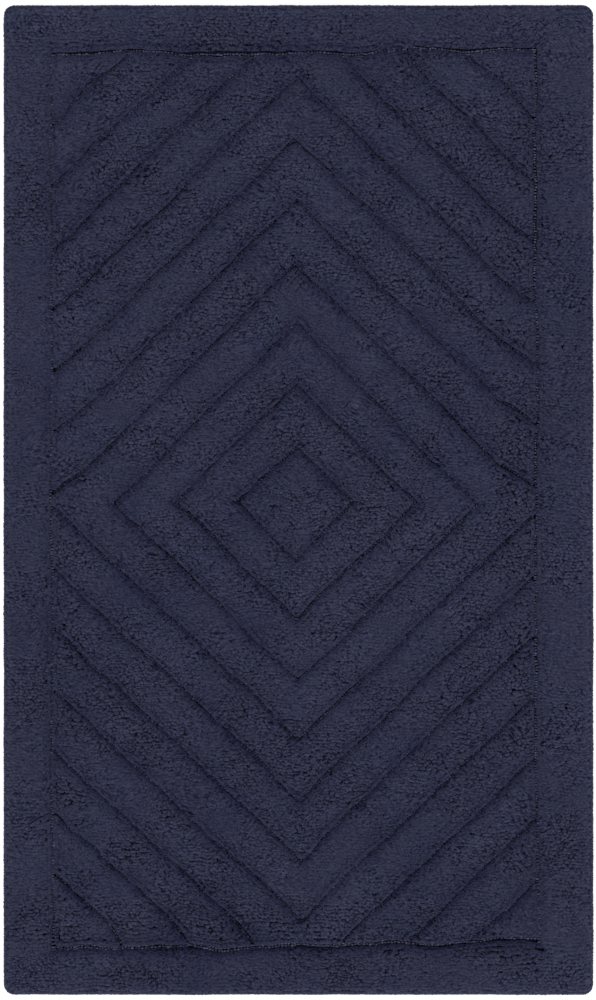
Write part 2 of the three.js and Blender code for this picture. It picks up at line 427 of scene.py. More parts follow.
def pull(x, y):
    """How far, and which way, the cloth was pulled at points of the mat."""
    u = x / panel_high.x
    v = y / panel_high.y
    aside = pulled_aside * (v ** 2 - 1) - drawn_in * u * (1 - drawn_fade * v ** 2) - leant * v * (1 - u)
    upwards = bowed * v ** 2 - pulled_aside - flattened * v * (1 - flat_turn * u ** 2) - leant * u ** 2
    to_corner = np.hypot(panel_high.x - np.abs(x), panel_high.y - y)
    outwards = spread * np.exp(-((to_corner / spread_reach) ** 2)) / math.sqrt(2)
    aside = aside + np.sign(x) * outwards
    upwards = upwards + outwards
    to_side = np.minimum(x - panel_low.x, panel_high.x - x)
    to_end = np.minimum(y - panel_low.y, panel_high.y - y)
    share = np.clip(np.minimum(to_side, to_end) / pull_width, 0, 1)
    share = share * share * (3 - 2 * share)
    by_end = np.exp(-(((np.abs(y) - panel_high.y) / frame_reach) ** 2))
    by_side = np.exp(-(((np.abs(x) - panel_high.x) / frame_reach) ** 2))
    aslant = by_end * u * np.where(v > 0, upper_tilt, lower_tilt)
    return aside * share - by_side * v * side_tilt, upwards * share + aslant


def wander(x, y):
    """How far the hand-guided rows stray from the drawn pattern, at points of the mat."""
    share = np.clip((inset(x, y) - still_rim) / still_edge, 0, 1)
    across, along = (
        drift(x, y, wander_reach, wander_reach, wide)
        + ripple_share * drift(x, y, wander_ripple, wander_ripple, small)
        for wide, small in wander_seeds
    )
    aside, upwards = pull(x, y)
    near_end = np.exp(-(((np.abs(y) - panel_high.y) / end_reach) ** 2))
    along = along + end_wave * near_end * drift(x, np.sign(y), end_bend, 1, end_seed)
    return across * wander_width * share - aside, along * wander_width * share - upwards


def surface_of(node):
    """A CAD node's mesh, ready for rays."""
    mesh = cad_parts[node].data
    points = [v.co.copy() for v in mesh.vertices]
    return BVHTree.FromPolygons(points, [tuple(p.vertices) for p in mesh.polygons])


def under(surface, x, y):
    """What a plumb line meets at a point: the height, or nothing outside the node."""
    return surface.ray_cast(Vector((x, y, cad_high.z + 0.01)), Vector((0, 0, -1)))[0]


bake_margin = 0.001  # the bake's layout stays this share inside its square


def copies_mesh(name, shape_points, shape_faces, points, numbers):
    """One mesh of many copies: points holds every copy's points, numbers its values by name.

    For the bake it is laid out as seen from above, the copies' ends in one half of the square and
    the faces that reach down to their feet in the other.
    """
    copies, each = points.shape[:2]
    faces = shape_faces[None, :, :] + (np.arange(copies) * each)[:, None, None]
    corners = faces.reshape(-1).astype(np.int32)
    mesh = bpy.data.meshes.new(name)
    mesh.vertices.add(copies * each)
    mesh.vertices.foreach_set("co", points.reshape(-1).astype(np.float32))
    mesh.loops.add(len(corners))
    mesh.loops.foreach_set("vertex_index", corners)
    count = len(corners) // 3
    mesh.polygons.add(count)
    mesh.polygons.foreach_set("loop_start", np.arange(0, len(corners), 3, dtype=np.int32))
    mesh.update(calc_edges=True)
    mesh.polygons.foreach_set("use_smooth", np.full(count, True))
    for value_name, values in numbers.items():
        layer = mesh.attributes.new(value_name, "FLOAT", "POINT")
        layer.data.foreach_set("value", values.reshape(-1).astype(np.float32))
    flat = points.reshape(-1, 3)
    low = flat.min(0)
    span = flat.max(0) - low
    layout = mesh.uv_layers.new(name="OFBake")
    spots = (flat[corners, :2] - low[:2]) / span[:2]
    spots[:, 1] *= 0.5
    foot = np.repeat(shape_points[shape_faces, 2].min(1) < 0.5, 3)
    lower = np.tile(foot, copies)
    spots[lower, 1] += 0.5
    spots = spots * (1 - 2 * bake_margin) + bake_margin
    layout.data.foreach_set("uv", spots.reshape(-1).astype(np.float32))
    piece = bpy.data.objects.new(name, mesh)
    bpy.context.scene.collection.objects.link(piece)
    return piece


def shape_of(piece):
    """A finished piece's points and triangles. The piece itself is then taken away."""
    bpy.ops.object.mode_set(mode="EDIT")
    bpy.ops.mesh.select_all(action="SELECT")
    bpy.ops.mesh.quads_convert_to_tris()
    bpy.ops.mesh.normals_make_consistent(inside=False)
    bpy.ops.object.mode_set(mode="OBJECT")
    points = np.array([v.co for v in piece.data.vertices])
    faces = np.array([tuple(p.vertices) for p in piece.data.polygons])
    mesh = piece.data
    bpy.data.objects.remove(piece)
    bpy.data.meshes.remove(mesh)
    return points, faces


def one_loop(height):
    """One loop of yarn at the origin: a thin prism with its legs down, bent over into an arch."""
    bpy.ops.object.select_all(action="DESELECT")
    bpy.ops.mesh.primitive_circle_add(
        vertices=5, radius=loop_yarn, fill_type="NGON", location=(-loop_span, 0, 0)
    )
    loop = bpy.context.object
    straight = height - loop_span - loop_yarn
    bpy.ops.object.mode_set(mode="EDIT")
    bpy.ops.mesh.select_all(action="SELECT")
    bpy.ops.mesh.extrude_region_move(TRANSFORM_OT_translate={"value": (0, 0, straight)})
    bpy.ops.mesh.spin(steps=3, angle=-math.pi, center=(0, 0, straight), axis=(0, 1, 0))
    bpy.ops.mesh.extrude_region_move(TRANSFORM_OT_translate={"value": (0, 0, -straight)})
    bpy.ops.object.mode_set(mode="OBJECT")
    bpy.ops.object.transform_apply(location=True, rotation=False, scale=False)
    return loop


def line_corner(number):
    """The upper corner of a diamond line, from the three that close inside the panel."""
    return first_corner + (number - 1) * corner_pitch


def mid_reach(node, axis):
    """How far a closed line's middle is from the centre along one axis."""
    other = 1 - axis
    near = [abs(v.co[axis]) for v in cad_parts[node].data.vertices if abs(v.co[other]) < 1e-5]
    return sum(near) / len(near)


first_corner = mid_reach("loop_ring_1", 1)
corner_pitch = (mid_reach("loop_ring_3", 1) - first_corner) / 2
slope = first_corner / mid_reach("loop_ring_1", 0)
frame_low, frame_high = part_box("loop_frame")
panel_low = Vector(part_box("pile_chevron_7_lower")[0])
panel_high = Vector(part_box("pile_chevron_7_upper")[1])
loop_floor = frame_low.z
loop_top = frame_high.z
loop_shape, loop_faces = shape_of(one_loop(loop_top - loop_floor))


def diamond_line(corner, pitch):
    """Points a pitch apart along a line's four sides, with the line's heading at each."""
    side = corner * math.hypot(1, 1 / slope)
    steps = int(side / pitch)
    share = (np.arange(steps) + 0.5) / steps
    points = []
    for right in (1, -1):
        for up in (1, -1):
            x = right * share * corner / slope
            y = up * (1 - share) * corner
            heading = math.atan2(-up * slope, right)
            points.append(np.stack([x, y, np.full(steps, heading)], 1))
    return np.concatenate(points)


def straight_line(first, last, pitch):
    """Points a pitch apart between two corners of the frame line."""
    run = math.hypot(last[0] - first[0], last[1] - first[1])
    steps = int(run / pitch)
    share = (np.arange(steps) + 0.5)[:, None] / steps
    points = np.array(first) * (1 - share) + np.array(last) * share
    heading = math.atan2(last[1] - first[1], last[0] - first[0])
    return np.concatenate([points, np.full((steps, 1), heading)], 1)


def row_of_loops(name, node, places, seed, light):
    """Sets a loop at each place that lies on the node, each a little out of line."""
    surface = surface_of(node)
    kept = np.array([p for p in places if under(surface, p[0], p[1])])
    chance = np.random.default_rng(seed)
    count = len(kept)
    stray_x, stray_y = wander(kept[:, 0], kept[:, 1])
    x = kept[:, 0] - stray_x + chance.normal(0, loop_stray, count)
    y = kept[:, 1] - stray_y + chance.normal(0, loop_stray, count)
    turn = kept[:, 2] + chance.normal(0, loop_turn, count)
    tall = chance.uniform(*loop_tall, count)
    fat = chance.uniform(*loop_fat, count)
    shape = loop_shape[None, :, :]
    across = shape[..., 0] * np.cos(turn)[:, None] - shape[..., 1] * np.sin(turn)[:, None]
    along = shape[..., 0] * np.sin(turn)[:, None] + shape[..., 1] * np.cos(turn)[:, None]
    points = np.stack(
        [
            x[:, None] + across * fat[:, None],
            y[:, None] + along * fat[:, None],
            loop_floor + shape[..., 2] * tall[:, None],
        ],
        2,
    )
    each = loop_shape.shape[0]
    # A loop's tone, around light: painted shade in the narrow lines, painted light in the frame line
    tone = np.repeat(chance.uniform(light - loop_tone, light + loop_tone, count), each)
    rise = (points[..., 2] - loop_floor) / (loop_top - loop_floor)
    rough = np.full(count * each, loop_rough)
    numbers = {"tone": tone, "rise": rise, "rough": rough}
    return copies_mesh(name, loop_shape / loop_top, loop_faces, points, numbers)


# Dyed cotton yarn. First the widths of what shows in it, then how strongly each shows
swirl_width = 40 * millimetre  # the plies and curls bend in swirls this wide
swirl_reach = 30 * millimetre
patch_width = 55 * millimetre
wide_width = 200 * millimetre
hue_width = 35 * millimetre
tone_weight = 0.36
fibre_weight = 0.7
ply_weight = 1.2
curl_weight = 0.35
curl_rough_weight = 0.75
curl_least = -0.45  # no curl is darker than this
patch_weight = 0.35
wide_weight = 0.25
warm_dye = (1.03, 0.99, 1.0)
cool_dye = (0.96, 1.01, 1.02)
painted_shade_tint = (0.86, 0.91, 1.9)  # painted light: where the yarn is painted dark down between the tufts it is tinted bluer, as the light that comes back there is
# The lighter yarn is tinted paler and greyer: a painted sheen
painted_sheen_tint = (0.98, 0.965, 0.9)
yarn_gloss = 0.08
yarn_sheen = 0.12
cotton_sheen = (0.7, 0.76, 1.0)


def yarn(name, colour, fibre, root_shade):
    """Matt dyed cotton yarn, with shade painted darker down in the pile, and fine fibres and curled plies
    along it.
    """
    cloth = Finish(name)
    where = cloth.place()[0]
    tone = cloth.attribute("tone")
    rise = cloth.attribute("rise")
    rough = cloth.attribute("rough")
    swirled = cloth.swirled(where, swirl_width, swirl_reach)
    fibres = cloth.noise(cloth.stretched(where, 1, 1, 0.3), fibre, 3.0, 0.6)
    plies = cloth.noise(cloth.stretched(swirled, 0.5, 1, 0.5), fibre * 2.2, 1.0)
    curls = cloth.noise(cloth.stretched(swirled, 0.5, 1, 0.5), fibre * 3.6, 1.0)
    curls = (0.5 - (curls - 0.5).size() * 5).at_least(curl_least)
    patches = cloth.noise(where, patch_width, 2.0, 0.55)
    wide = cloth.noise(where, wide_width, 1.0)
    light = 0.5 + tone * tone_weight
    light = light + (fibres - 0.5) * fibre_weight + (plies - 0.5) * ply_weight
    light = light + curls * (curl_weight + rough * curl_rough_weight)
    light = light + (patches - 0.5) * patch_weight + (wide - 0.5) * wide_weight
    # Painted shade: the yarn's colour is darkened towards its foot, down to root_shade, by the rise
    # attribute
    depth = root_shade + rise ** 1.5 * (1 - root_shade)
    hue = cloth.noise(where, hue_width, 1.0)
    warmer = tuple(c * k for c, k in zip(colour, warm_dye))
    cooler = tuple(c * k for c, k in zip(colour, cool_dye))
    dyed = cloth.mixed((hue - 0.3) * 2.5, cooler, warmer)
    painted_shade_blue = cloth.tinted(dyed, painted_shade_tint)
    painted_sheen_pale = cloth.tinted(dyed, painted_sheen_tint)
    # The tint follows the yarn's light and dark, partly its own tone and partly painted shade and light:
    # darker yarn is painted bluer, lighter yarn paler, as sheen makes it
    dyed = cloth.mixed(light * depth * 1.5, painted_shade_blue, painted_sheen_pale)
    relief = cloth.bump(fibres, fibre * 0.5, 0.8)
    shade = cloth.scaled(dyed, light * depth)
    return cloth.finished(shade, 0.88 + fibres * 0.1, relief, yarn_sheen, cotton_sheen, yarn_gloss)


loop_finish = yarn("loop_yarn", loop_colour, loop_fibre, loop_root_shade)


def loops_for(node, places, seed, light):
    """The row of loops of one line."""
    piece = row_of_loops(node + "_loops", node, places, seed, light)
    piece.data.materials.append(loop_finish)
    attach(piece, "root")
    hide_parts(node)


loop_nodes = sorted(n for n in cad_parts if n.startswith("loop_") and n != "loop_frame")
for seed, node in enumerate(loop_nodes, start=100):
    number = int(node.split("_")[2])
    loops_for(node, diamond_line(line_corner(number), loop_pitch), seed, line_loop_shade)

# The frame line: one row down each side, and at each end two rows close to the panel's pile. The
# border's pile stands off from those, which leaves a dark gap.
side_rows = ((frame_low.x + panel_low.x) / 2, (frame_high.x + panel_high.x) / 2)
side_pitch = 0.88 * loop_pitch
end_rows = (1.1 * millimetre, 3.5 * millimetre)  # how far out from the panel's pile
frame_seed = 90
frame_places = []
for x in side_rows:
    rungs = straight_line((x, frame_low.y), (x, frame_high.y), side_pitch)
    rungs[:, 2] = 0  # down the sides each loop lies across the row
    frame_places.append(rungs)
for out in end_rows:
    for y in (panel_low.y - out, panel_high.y + out):
        frame_places.append(straight_line((side_rows[0], y), (side_rows[1], y), loop_pitch))
loops_for("loop_frame", np.concatenate(frame_places), frame_seed, frame_loop_light)


# ---------------------------------------------------------------------------------------------
# The cut pile. Each tuft is a soft cotton yarn stuck through the cloth in rows and cut off at the
# top, where its fibres open out until it touches its neighbours. Tufts beside a sunk line lean
# over it, those at the mat's edge fan out over the hem, and washing has left clumps, ripples and
# brushed patches all over.

tuft_across = 3.2 * millimetre
tuft_along = 3.25 * millimetre
tuft_step = 2.3 * millimetre  # along a row that follows a sunk line or the mat's edge
tuft_long = 2.9 * millimetre  # half of a tuft's opened end, along its own run
tuft_short = 2.55 * millimetre
tuft_waist = 0.74  # the dents between a tuft's three plies, as a share of its width
set_back = 1.25 * millimetre  # from a channel's wall to the row beside it
corner_fill = 0.1  # where two channels meet, rows run on to this share of the set-back
foot_inset = 5.2 * millimetre  # no tuft can be stuck nearer to the mat's edge than this
pile_colour = (0.0402, 0.0436, 0.0905)
pile_fibre = 0.6 * millimetre
# How light the painted shade down in the pile leaves the tufts at their feet
pile_root_shade = 0.63
corner_shear = 2.5 * millimetre  # the pile's corners are shorn this much rounder than the cloth's
pile_floor, pile_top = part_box("pile_ring_0")[0].z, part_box("pile_ring_0")[1].z
pile_depth = pile_top - pile_floor
tuft_neck = 0.78  # a tuft is at its widest here, as a share of its height
tuft_crown = 0.93
tuft_top = 0.74  # its width up there, as a share of its greatest width


def one_tuft():
    """One tuft, a metre tall and a metre in radius: three plies that rise from a point and open."""
    bpy.ops.object.select_all(action="DESELECT")
    bpy.ops.mesh.primitive_cone_add(
        vertices=6, radius1=0, radius2=1, depth=tuft_neck, location=(0, 0, tuft_neck / 2)
    )
    tuft = bpy.context.object
    bpy.ops.object.mode_set(mode="EDIT")
    bpy.ops.mesh.select_all(action="DESELECT")
    bpy.ops.object.mode_set(mode="OBJECT")
    for face in tuft.data.polygons:
        face.select = face.normal.z > 0.9
    bpy.ops.object.mode_set(mode="EDIT")
    rise = (0, 0, tuft_crown - tuft_neck)
    bpy.ops.mesh.extrude_region_move(TRANSFORM_OT_translate={"value": rise})
    bpy.ops.transform.resize(value=(tuft_top, tuft_top, 1))
    bpy.ops.mesh.poke(offset=1 - tuft_crown)
    bpy.ops.mesh.select_all(action="DESELECT")
    bpy.ops.object.mode_set(mode="OBJECT")
    for vertex in tuft.data.vertices:
        sixth = round(math.atan2(vertex.co.y, vertex.co.x) / (math.pi / 3))
        vertex.select = math.hypot(vertex.co.x, vertex.co.y) > 0.1 and sixth % 2 == 1
    bpy.ops.object.mode_set(mode="EDIT")
    bpy.ops.transform.resize(value=(tuft_waist, tuft_waist, 1))
    bpy.ops.object.mode_set(mode="OBJECT")
    bpy.ops.object.transform_apply(location=True, rotation=False, scale=False)
    return tuft


tuft_shape, tuft_faces = shape_of(one_tuft())
steepness = math.hypot(1, slope)
half_channel = (first_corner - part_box("pile_ring_0")[1].y) / steepness
border_clearance = 0.3 * millimetre  # between the frame's loops and the border's pile
far = 1  # stands for a wall that isn't there
line_count = max(int(n.split("_")[2]) for n in loop_nodes)


def walls(x, y):
    """For points of the mat: the band they are in, and how far and which way the nearest wall is.

    The band is the number of diamond lines that a point is outside of, or -1 in the border.
    """
    out = np.abs(y) + slope * np.abs(x)
    band = np.clip(np.floor((out - first_corner) / corner_pitch) + 1, 0, line_count).astype(int)
    side_x, side_y = np.where(x < 0, -1, 1), np.where(y < 0, -1, 1)
    ahead = (line_corner(band + 1) - out) / steepness - half_channel
    ahead = np.where(band < line_count, ahead, far)
    behind = np.where(band > 0, (out - line_corner(band)) / steepness - half_channel, far)
    choices = [
        (ahead, side_x * slope / steepness, side_y / steepness),
        (behind, -side_x * slope / steepness, -side_y / steepness),
        (x - panel_low.x, -1 + 0 * x, 0 * x),
        (panel_high.x - x, 1 + 0 * x, 0 * x),
        (y - panel_low.y, 0 * x, -1 + 0 * x),
        (panel_high.y - y, 0 * x, 1 + 0 * x),
    ]
    distances = np.stack([choice[0] for choice in choices])
    nearest = distances.argmin(0)
    here = np.arange(len(x))
    reach = distances[nearest, here]
    out_x = np.stack([choice[1] for choice in choices])[nearest, here]
    out_y = np.stack([choice[2] for choice in choices])[nearest, here]
    past_x = np.maximum(frame_low.x - x, x - frame_high.x)
    past_y = np.maximum(frame_low.y - y, y - frame_high.y)
    in_border = np.maximum(past_x, past_y) > 0
    by_side = past_x > past_y
    band = np.where(in_border, -1, band)
    reach = np.where(in_border, np.maximum(past_x, past_y) - border_clearance, reach)
    out_x = np.where(in_border, np.where(by_side, -side_x, 0), out_x)
    out_y = np.where(in_border, np.where(by_side, 0, -side_y), out_y)
    return band, reach, out_x, out_y


least_bend = 1 * millimetre


def outline_row(back):
    """Points a tuft apart all round the mat, each this far in from its edge, with their headings."""
    radius = max(corner_radius + corner_shear - back, least_bend)
    half_x = cad_high.x - back - radius
    half_y = cad_high.y - back - radius
    rows = []
    for right, up, heading in ((1, -1, 0), (1, 1, math.pi / 2), (-1, 1, math.pi), (-1, -1, -math.pi / 2)):
        side = half_x if heading in (0, math.pi) else half_y
        middle = np.array([right * half_x, up * half_y])
        ahead = np.array([math.cos(heading), math.sin(heading)])
        outwards = np.array([ahead[1], -ahead[0]])
        steps = int(2 * side / tuft_step)
        share = (np.arange(steps)[:, None] + 0.5) / steps
        straight = middle + outwards * radius - ahead * 2 * side * (1 - share)
        rows.append(np.concatenate([straight, np.full((steps, 1), heading)], 1))
        steps = max(round(radius * math.pi / 2 / tuft_step), 2)
        turn = heading - math.pi / 2 + (np.arange(steps) + 0.5) / steps * math.pi / 2
        bend = middle + radius * np.stack([np.cos(turn), np.sin(turn)], 1)
        rows.append(np.concatenate([bend, turn[:, None] + math.pi / 2], 1))
    return np.concatenate(rows)


def frame_row(left, lower, right, upper):
    """Points a tuft apart round a rectangle, with their headings."""
    corners = ((left, lower), (right, lower), (right, upper), (left, upper))
    sides = [straight_line(corners[n], corners[(n + 1) % 4], tuft_step) for n in range(4)]
    return np.concatenate(sides)


# Rows round the mat's edge: how far in each one's ends are, and how tall it is
edge_rows = ((1.5 * millimetre, 0.84), (0.9 * millimetre, 0.62), (0.7 * millimetre, 0.4))

# The field's own rows. The machine's needle strays a little, and its rows bend. Each drift here and
# below is given as the length of its hills across and along the mat, in metres, and its seed.
field_seed = 41
stray_most = 1.7  # nothing strays more than this many times as far as usual
stray_across = 0.65 * millimetre
stray_along = 0.5 * millimetre
row_ripple = 0.8 * millimetre
row_ripples = (0.013, 0.02, 22)
row_bend = 4 * millimetre
row_bends = (0.04, 0.2, 24)
tuft_turn = 0.8  # how far a tuft's long side turns from the row, in radians
tuft_turns = (0.016, 0.012, 23)
line_clear = 0.4  # the field stops short of the rows that follow a line by this share of a row
edge_clear = 0.6  # and of those round the mat's edge by this share


def all_tufts():
    """Every tuft's place in the drawn pattern, its heading, its height as a share, and a 1 in a row."""
    columns = np.arange(math.floor(cad_low.x / tuft_across), math.ceil(cad_high.x / tuft_across) + 1)
    rows = np.arange(math.floor(cad_low.y / tuft_along), math.ceil(cad_high.y / tuft_along) + 1)
    column, row = (grid.reshape(-1) for grid in np.meshgrid(columns, rows))
    chance = np.random.default_rng(field_seed)
    count = len(column)
    stray = np.clip(chance.normal(0, 1, (2, count)), -stray_most, stray_most)
    x = (column + 0.5 * (row % 2)) * tuft_across + stray_across * stray[0]
    y = row * tuft_along + stray_along * stray[1]
    y = y + row_ripple * drift(x, y, *row_ripples) + row_bend * drift(x, y, *row_bends)
    _, reach, _, _ = walls(x, y)
    clear = set_back + line_clear * tuft_along
    keep = (reach > clear) & (inset(x, y) > edge_rows[0][0] + edge_clear * tuft_along)
    heading = tuft_turn * drift(x, y, *tuft_turns)
    places = [np.stack([x, y, heading, np.ones(count), np.zeros(count)], 1)[keep]]
    lined = []
    for number in range(1, line_count + 1):
        for side in (-1, 1):
            corner = line_corner(number) + side * (half_channel + set_back) * steepness
            lined.append(diamond_line(corner, tuft_step))
    lined = np.concatenate(lined)
    band, reach, _, _ = walls(lined[:, 0], lined[:, 1])
    lined = lined[(band >= 0) & (reach > corner_fill * set_back)]
    back = set_back
    inner = frame_row(panel_low.x + back, panel_low.y + back, panel_high.x - back, panel_high.y - back)
    _, reach, _, _ = walls(inner[:, 0], inner[:, 1])
    inner = inner[reach > corner_fill * set_back]
    back = set_back + border_clearance
    outer = frame_row(frame_low.x - back, frame_low.y - back, frame_high.x + back, frame_high.y + back)
    full_rows = [(row, 1) for row in (lined, inner, outer)]
    for row, tall in full_rows + [(outline_row(back), tall) for back, tall in edge_rows]:
        count = len(row)
        places.append(np.concatenate([row, np.full((count, 1), tall), np.ones((count, 1))], 1))
    return np.concatenate(places)


# Washing gathers the tufts' ends into ridges, longer across the mat than along it
ridge_swirl = 12 * millimetre
ridge_swirls = ((0.04, 0.04, 51), (0.035, 0.04, 52))
broad_ridges = (0.013, 0.0042, 36)
fine_ridges = (0.006, 0.0033, 37)
fine_share = 0.6


def clump(x, y):
    """How high on a ridge points of the mat are."""
    swirl_x = x + ridge_swirl * drift(x, y, *ridge_swirls[0])
    swirl_y = y + ridge_swirl * drift(x, y, *ridge_swirls[1])
    return drift(swirl_x, swirl_y, *broad_ridges) + fine_share * drift(swirl_x, swirl_y, *fine_ridges)


# Where the pile is rough with clumps, up to 1, and where it is brushed smooth, down to rough_least
rough_border = 0.6
rough_panel = 0.72
rough_least = 0.12
rough_patch = 0.55
rough_patches = (0.045, 0.03, 31)
rough_spot = 0.35
rough_spots = (0.018, 0.012, 32)
smooth_reach = 5 * millimetre  # beside a sunk line it is smoother
smooth_line = 0.35
smooth_shaded = 0.4  # most of all where it slopes away from the near side
smooth_edge = 0.6  # and it is smoother at the mat's edge


def roughness(x, y, band, reach, shaded, near_edge):
    """How clumped the pile is at each tuft's place."""
    rough = np.where(band < 0, rough_border, rough_panel)
    rough = rough + rough_patch * drift(x, y, *rough_patches) + rough_spot * drift(x, y, *rough_spots)
    beside = np.exp(-reach / smooth_reach)
    rough = np.clip(rough, rough_least, 1) * (1 - (smooth_line + smooth_shaded * shaded) * beside)
    return rough * (1 - smooth_edge * near_edge)


# How far the tufts beside a line lean over it. They nearly close the frame line's left side, close
# half of its right side, and lean far over its wide ends.
lean_reach = 4.5 * millimetre
lean_left = 1.9 * millimetre
lean_right = 1 * millimetre
lean_end = 1.2 * millimetre
lean_border_end = 3.7 * millimetre
lean_diamond = 0.6 * millimetre
opened = 1 * millimetre  # how much less they lean where the line has opened
opened_border_end = 2.6 * millimetre
open_places = (0.04, 0.04, 33)
open_usual = 0.6
open_change = 0.9
frays = (0.008, 0.008, 39)
fray_share = 0.3


def lean_over(x, y, band, reach, over_side, over_end):
    """How far each tuft's end leans towards the nearest wall."""
    open_line = np.clip(open_usual + open_change * drift(x, y, *open_places), 0, 1)
    frayed = 0.5 + 0.5 * drift(x, y, *frays)
    border_end = over_end & (band < 0)
    most = np.where(over_end, lean_end, lean_diamond)
    most = np.where(over_side, np.where(x < 0, lean_left, lean_right), most)
    most = np.where(border_end, lean_border_end, most)
    less = np.where(border_end, opened_border_end, opened)
    leans = most - less * ((1 - fray_share) * open_line + fray_share * frayed)
    return np.exp(-reach / lean_reach) * leans


# How light or dark each tuft's yarn is: its own tone, which differs at random, with painted light and
# painted shade on top
tone_usual = 0.5
tone_change = 0.15  # from one tuft to the next, where the pile is smooth
tone_rough = 0.35  # and this much more where it is rough
edge_painted_light = 0.5  # painted light: lighter at the mat's edge, where the tufts lie open
line_painted_shade = 0.68  # painted shade: darker beside a sunk line
side_dark = 0.6  # the share of that beside the frame line's sides
line_dark_reach = 4 * millimetre
all_dark = 0.06
end_shade = 0.1  # painted shade, darker where it slopes away from the near side: beside the frame line's ends
border_end_shade = 0.5
slope_shade = 0.28
shade_reach = 7 * millimetre
border_end_reach = 12 * millimetre


def tuft_tone(chance, rough, near_edge, band, reach, over_side, over_end, shaded):
    """Each tuft's tone: its own, at random, with painted light at the mat's edge and painted shade beside
    lines and on slopes.
    """
    tone = chance.uniform(0, 1, len(rough)) - 0.5
    tone = tone_usual + tone * (tone_change + tone_rough * rough) + edge_painted_light * near_edge
    dark = np.where(over_side, side_dark * line_painted_shade, line_painted_shade)
    tone = tone - dark * np.exp(-reach / line_dark_reach) - all_dark
    border_end = over_end & (band < 0)
    shade = np.where(over_end, end_shade, slope_shade)
    shade = np.where(border_end, border_end_shade, shade)
    shade_width = np.where(border_end, border_end_reach, shade_reach)
    return tone - shade * shaded * np.exp(-reach / shade_width)


# The shape of each tuft as it stands
edge_reach = 11 * millimetre  # the mat's edge shows this far in
side_reach = 4 * pile_depth  # tufts this near to the frame line's sides belong to them
square_on = 0.99  # a wall that a tuft leans towards this squarely is the frame line's
nap_across = 0.8 * millimetre  # brushing lays the ends over, in broad patches
across_naps = (0.07, 0.07, 34)
nap_along = 0.9 * millimetre
along_naps = (0.07, 0.05, 35)
gather = 0.45 * millimetre  # the ends gather towards the ridges
gather_step = 0.7 * millimetre
loose = 0.34 * millimetre  # each end strays by itself
row_tidy = 0.8  # less by this share in the rows beside lines
sunk = 2.6 * millimetre  # the ends sink towards a sunk line
sunk_reach = 5 * millimetre
ridge_swell = 0.35 * millimetre
hill_swell = 0.35 * millimetre
hill_swells = (0.04, 0.04, 38)
shorn = 0.2 * millimetre  # the pile is shorn this much below the top of its field
shorn_change = 0.3 * millimetre
tall_least = 0.5
tall_most = 1.03
tuft_wide = (0.97, 1.11)
blunt_wide = 0.1  # a brushed tuft is this much wider
blunt_open = 0.42  # its end opens by this share
blunt_lift = 0.3  # and its shoulders rise by this share of what they lack
# A brushed tuft's shoulders get this share less of the yarn's painted shade
blunt_light = 0.35
turn_change = 0.45
curve = 1.5  # a tuft bends more the higher up it is
upper_half = 0.5
tilt_reach = 6 * millimetre  # beside a line the ends tilt down into it
tilt_share = 0.6
lit_turn = 1.2  # the painted light on one side of a tuft's end turns this far, in radians
lit_turns = (0.03, 0.03, 61)
lit_weight = 0.78


